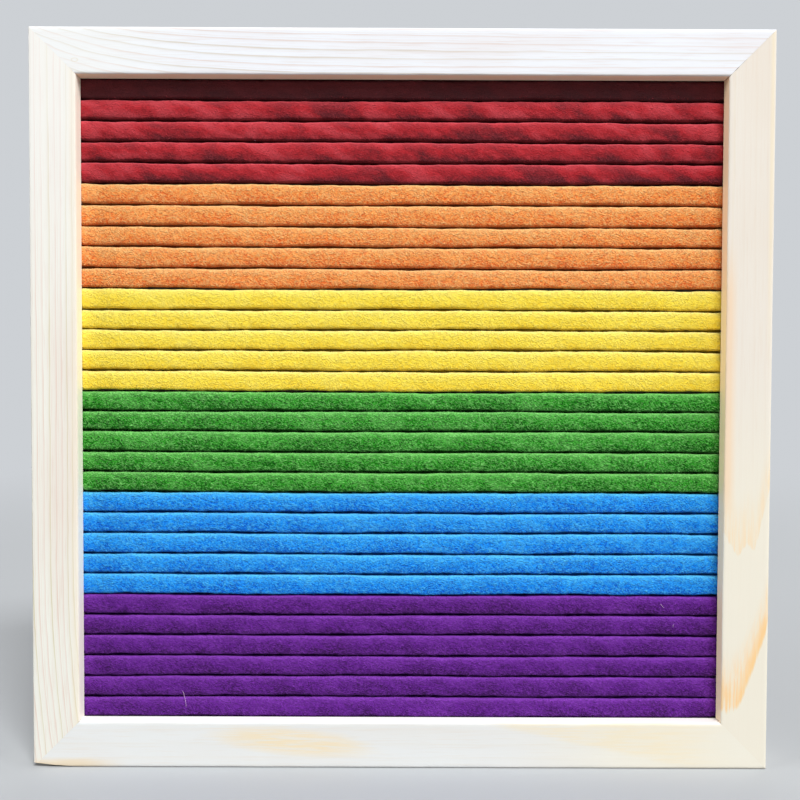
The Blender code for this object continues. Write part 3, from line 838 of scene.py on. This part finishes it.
# The right stile's tan tones: a flame with two teeth, a band beside the lip, and the outer edge
def tanMasks(x, z, ragged, grained):
    teeth = (
        (0.1095, 0.0835), (0.1112, 0.0822), (0.1132, 0.0785), (0.1161, 0.0740), (0.1179, 0.0768),
        (0.1195, 0.0785), (0.1206, 0.0770), (0.1217, 0.0758), (0.1229, 0.0800), (0.1241, 0.0862),
        (0.1256, 0.0925), (0.1270, 0.0990),
    )
    above = z - x.nodes.through(x, teeth) + ragged * 0.0028
    band = x.step(0.1093, 0.1108) * x.step(0.1156, 0.1120) * z.step(0.083, 0.100)
    return {
        "lowHalf": z.step(0.150, 0.080),
        "flame": above.step(-0.0003, 0.0008) * above.step(0.0220, 0.0015) * grained,
        "band": band * z.step(0.186, 0.160),
        "outerEdge": x.step(0.1246, 0.1256) * x.step(0.1267, 0.1260) * z.step(0.12, 0.20),
    }


def makeRails():
    for side in railSides:
        makeRail(side, woodMaterial(side))
    print("stage: rails")


# Fittings and boards that stay as they are in the frame

fittingLook = {
    # zinc as linear light: two tones and the dull spots
    "zinc": ((0.36, 0.37, 0.39), (0.56, 0.57, 0.59), (0.34, 0.34, 0.34)),
    # the others as screen values: two tones, flecks and rubbed patches
    "hardboard": ((112, 78, 52), (146, 108, 76), (82, 56, 38), (164, 130, 98)),
    "card": ((146, 140, 132), (182, 176, 166), (96, 100, 110)),
    "slat": ((206, 178, 142), (172, 136, 98)),
}


# Zinc plate: soft crystal patches, rolling lines and duller spots
def zincMaterial():
    dark, bright, spots = fittingLook["zinc"]
    look = Look("zinc_plate", Metallic=1.0)
    crystals = look.add("TexVoronoi", {"Vector": look.place(), "Scale": 650.0}, out="Color")
    tone = look.add("SeparateColor", {0: crystals})
    rolling = look.noise(look.place((10, 1, 1)), 3000, 2.0, 0.6)
    dull = look.noise(look.place(), 180, 3.0, 0.6).step(0.45, 0.7)
    colour = look.mix(dull * 0.4, look.mix(tone, dark, bright), spots)
    rough = tone * 0.14 + dull * 0.18 + rolling * 0.10 + 0.36
    return look.finish(Base_Color=colour, Roughness=rough, Normal=look.bump(rolling, 0.00003, 0.3))


# Smooth hardboard: pressed fibres, darker flecks and faint rubbed patches
def hardboardMaterial():
    dark, pale, fleck, rubbed = (screen(*colour) for colour in fittingLook["hardboard"])
    look = Look("hardboard", Specular_IOR_Level=0.35)
    fibres = look.noise(look.place((1, 1, 2.2), turn=(0, 28, 0)), 900, 3.0, 0.65, 0.6)
    flecks = look.noise(look.place(shift=(3, 0, 1)), 420, 2.0).step(0.62, 0.74)
    patch = look.noise(look.place(), 22, 2.0)
    colour = look.mix(fibres.step(0.3, 0.7), dark, pale)
    colour = look.mix(flecks * 0.6, colour, fleck)
    colour = look.mix(patch.step(0.5, 0.75) * 0.25, colour, rubbed)
    normal = look.bump(fibres, 0.00006, 0.4)
    return look.finish(Base_Color=colour, Roughness=patch * 0.2 + 0.5, Normal=normal)


# Grey pulp board with flecks of paper
def cardMaterial():
    dark, pale, fleck = (screen(*colour) for colour in fittingLook["card"])
    look = Look("grey_card", Roughness=0.9)
    pulp = look.noise(look.place(), 700, 3.0, 0.6)
    flecks = look.noise(look.place(shift=(1, 2, 3)), 1500, 1.0).step(0.64, 0.72)
    colour = look.mix(flecks * 0.6, look.mix(pulp, dark, pale), fleck)
    return look.finish(Base_Color=colour, Normal=look.bump(pulp, 0.00005, 0.5))


# Sawn softwood strips with their grain along them
def slatMaterial():
    pale, dark = (screen(*colour) for colour in fittingLook["slat"])
    look = Look("slat_wood", Roughness=0.85)
    streaks = look.noise(look.place((25, 1, 1)), 900, 3.0, 0.6)
    colour = look.mix(streaks.step(0.35, 0.7), pale, dark)
    return look.finish(Base_Color=colour, Normal=look.bump(streaks, 0.00005, 0.6))


def dressNodes():
    zinc = zincMaterial()
    looks = {
        "back_board": hardboardMaterial(),
        "card_backing": cardMaterial(),
        "slat_": slatMaterial(),
        "retaining_point_": zinc,
        "mitre_nail_": zinc,
        "sawtooth_": zinc,
        "hanger_nail_": zinc,
    }
    for name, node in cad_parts.items():
        for start, look in looks.items():
            if name.startswith(start):
                node.data.materials.clear()
                node.data.materials.append(look)
    print("stage: fittings and boards")


# Light, floor and camera

studio = {
    "floorSize": 12.0,
    "floorColour": (0.445, 0.463, 0.482),
    "floorFade": (0.35, 1.1),  # distances between which the floor passes into the background
    "backgroundColour": (0.61, 0.635, 0.665),
    "floorBounce": (0.30, 0.30, 0.30),
    "ambient": 0.055,
    "lens": 39.43,
    "sensor": 36.0,
    "nearest": 0.01,
    "cameraPlace": (-0.00087, -0.3095, 0.13585),
    "cameraTurn": (88.4377, -0.2125, -0.0692),
    # name: height and side in degrees from straight in front, distance, width and depth, power
    "lamps": {
        "key": (52.0, 20.0, 8.0, (3.2, 1.5), 680.0),
        "leftSide": (18.0, -72.0, 3.0, (1.4, 0.5), 36.0),
        "rightSide": (18.0, 72.0, 3.0, (1.4, 0.5), 36.0),
        "behind": (15.0, 172.0, 3.0, (3.0, 2.4), 52.0),
    },
}


# An area lamp aimed at the board's middle
def makeLamp(name, height, side, distance, size, power):
    up, turn = math.radians(height), math.radians(side)
    way = Vector((math.sin(turn) * math.cos(up), -math.cos(turn) * math.cos(up), math.sin(up)))
    light = bpy.data.lights.new(name, "AREA")
    light.shape = "RECTANGLE"
    light.size, light.size_y = size
    light.energy = power
    lamp = bpy.data.objects.new(name, light)
    lamp.location = Vector((0, 0, board["height"] / 2)) + way * distance
    lamp.rotation_euler = way.to_track_quat("Z", "Y").to_euler()
    bpy.context.scene.collection.objects.link(lamp)


# A pale floor that passes into the background's own tone away from the board
def makeFloor():
    half = studio["floorSize"] / 2
    corners = np.array([[-half, -half, 0], [half, -half, 0], [half, half, 0], [-half, half, 0]])
    look = Look("floor", Roughness=0.95, Specular_IOR_Level=0.05)
    x, y, _ = look.axes()
    away = (x * x + y * y).math("SQRT")
    tone = look.mix(look.seen(), studio["floorBounce"], studio["floorColour"])
    material = look.finish(Base_Color=tone)
    plain = look.add("Emission", {"Color": studio["backgroundColour"]})
    lit = Value(look, look.shader.outputs[0])
    share = away.step(*studio["floorFade"]) * look.seen()
    both = look.add("MixShader", {0: share, 1: lit, 2: plain})
    look.feed(look.tree.nodes["Material Output"].inputs["Surface"], both)
    makePiece("floor", corners, np.array([[0, 1, 2, 3]]), material)


def makeStudio():
    scene = bpy.context.scene
    makeFloor()
    scene.world = bpy.data.worlds.new("studio")
    scene.world.use_nodes = True
    sky = Nodes(scene.world.node_tree)
    ambient = sky.add("Background", {"Color": (1.0, 1.0, 1.0), "Strength": studio["ambient"]})
    plain = sky.add("Background", {"Color": studio["backgroundColour"]})
    both = sky.add("MixShader", {0: sky.seen(), 1: ambient, 2: plain})
    sky.feed(sky.tree.nodes["World Output"].inputs["Surface"], both)
    for name, settings in studio["lamps"].items():
        makeLamp(name, *settings)

    camera = bpy.data.cameras.new("camera")
    camera.sensor_width = studio["sensor"]
    camera.lens = studio["lens"]
    camera.clip_start = studio["nearest"]
    holder = bpy.data.objects.new("camera", camera)
    holder.location = studio["cameraPlace"]
    holder.rotation_euler = [math.radians(angle) for angle in studio["cameraTurn"]]
    scene.collection.objects.link(holder)
    scene.camera = holder
    scene.view_settings.view_transform = "Standard"
    print("stage: studio")


makeFelts()
makeLint()
makeRails()
dressNodes()
makeStudio()
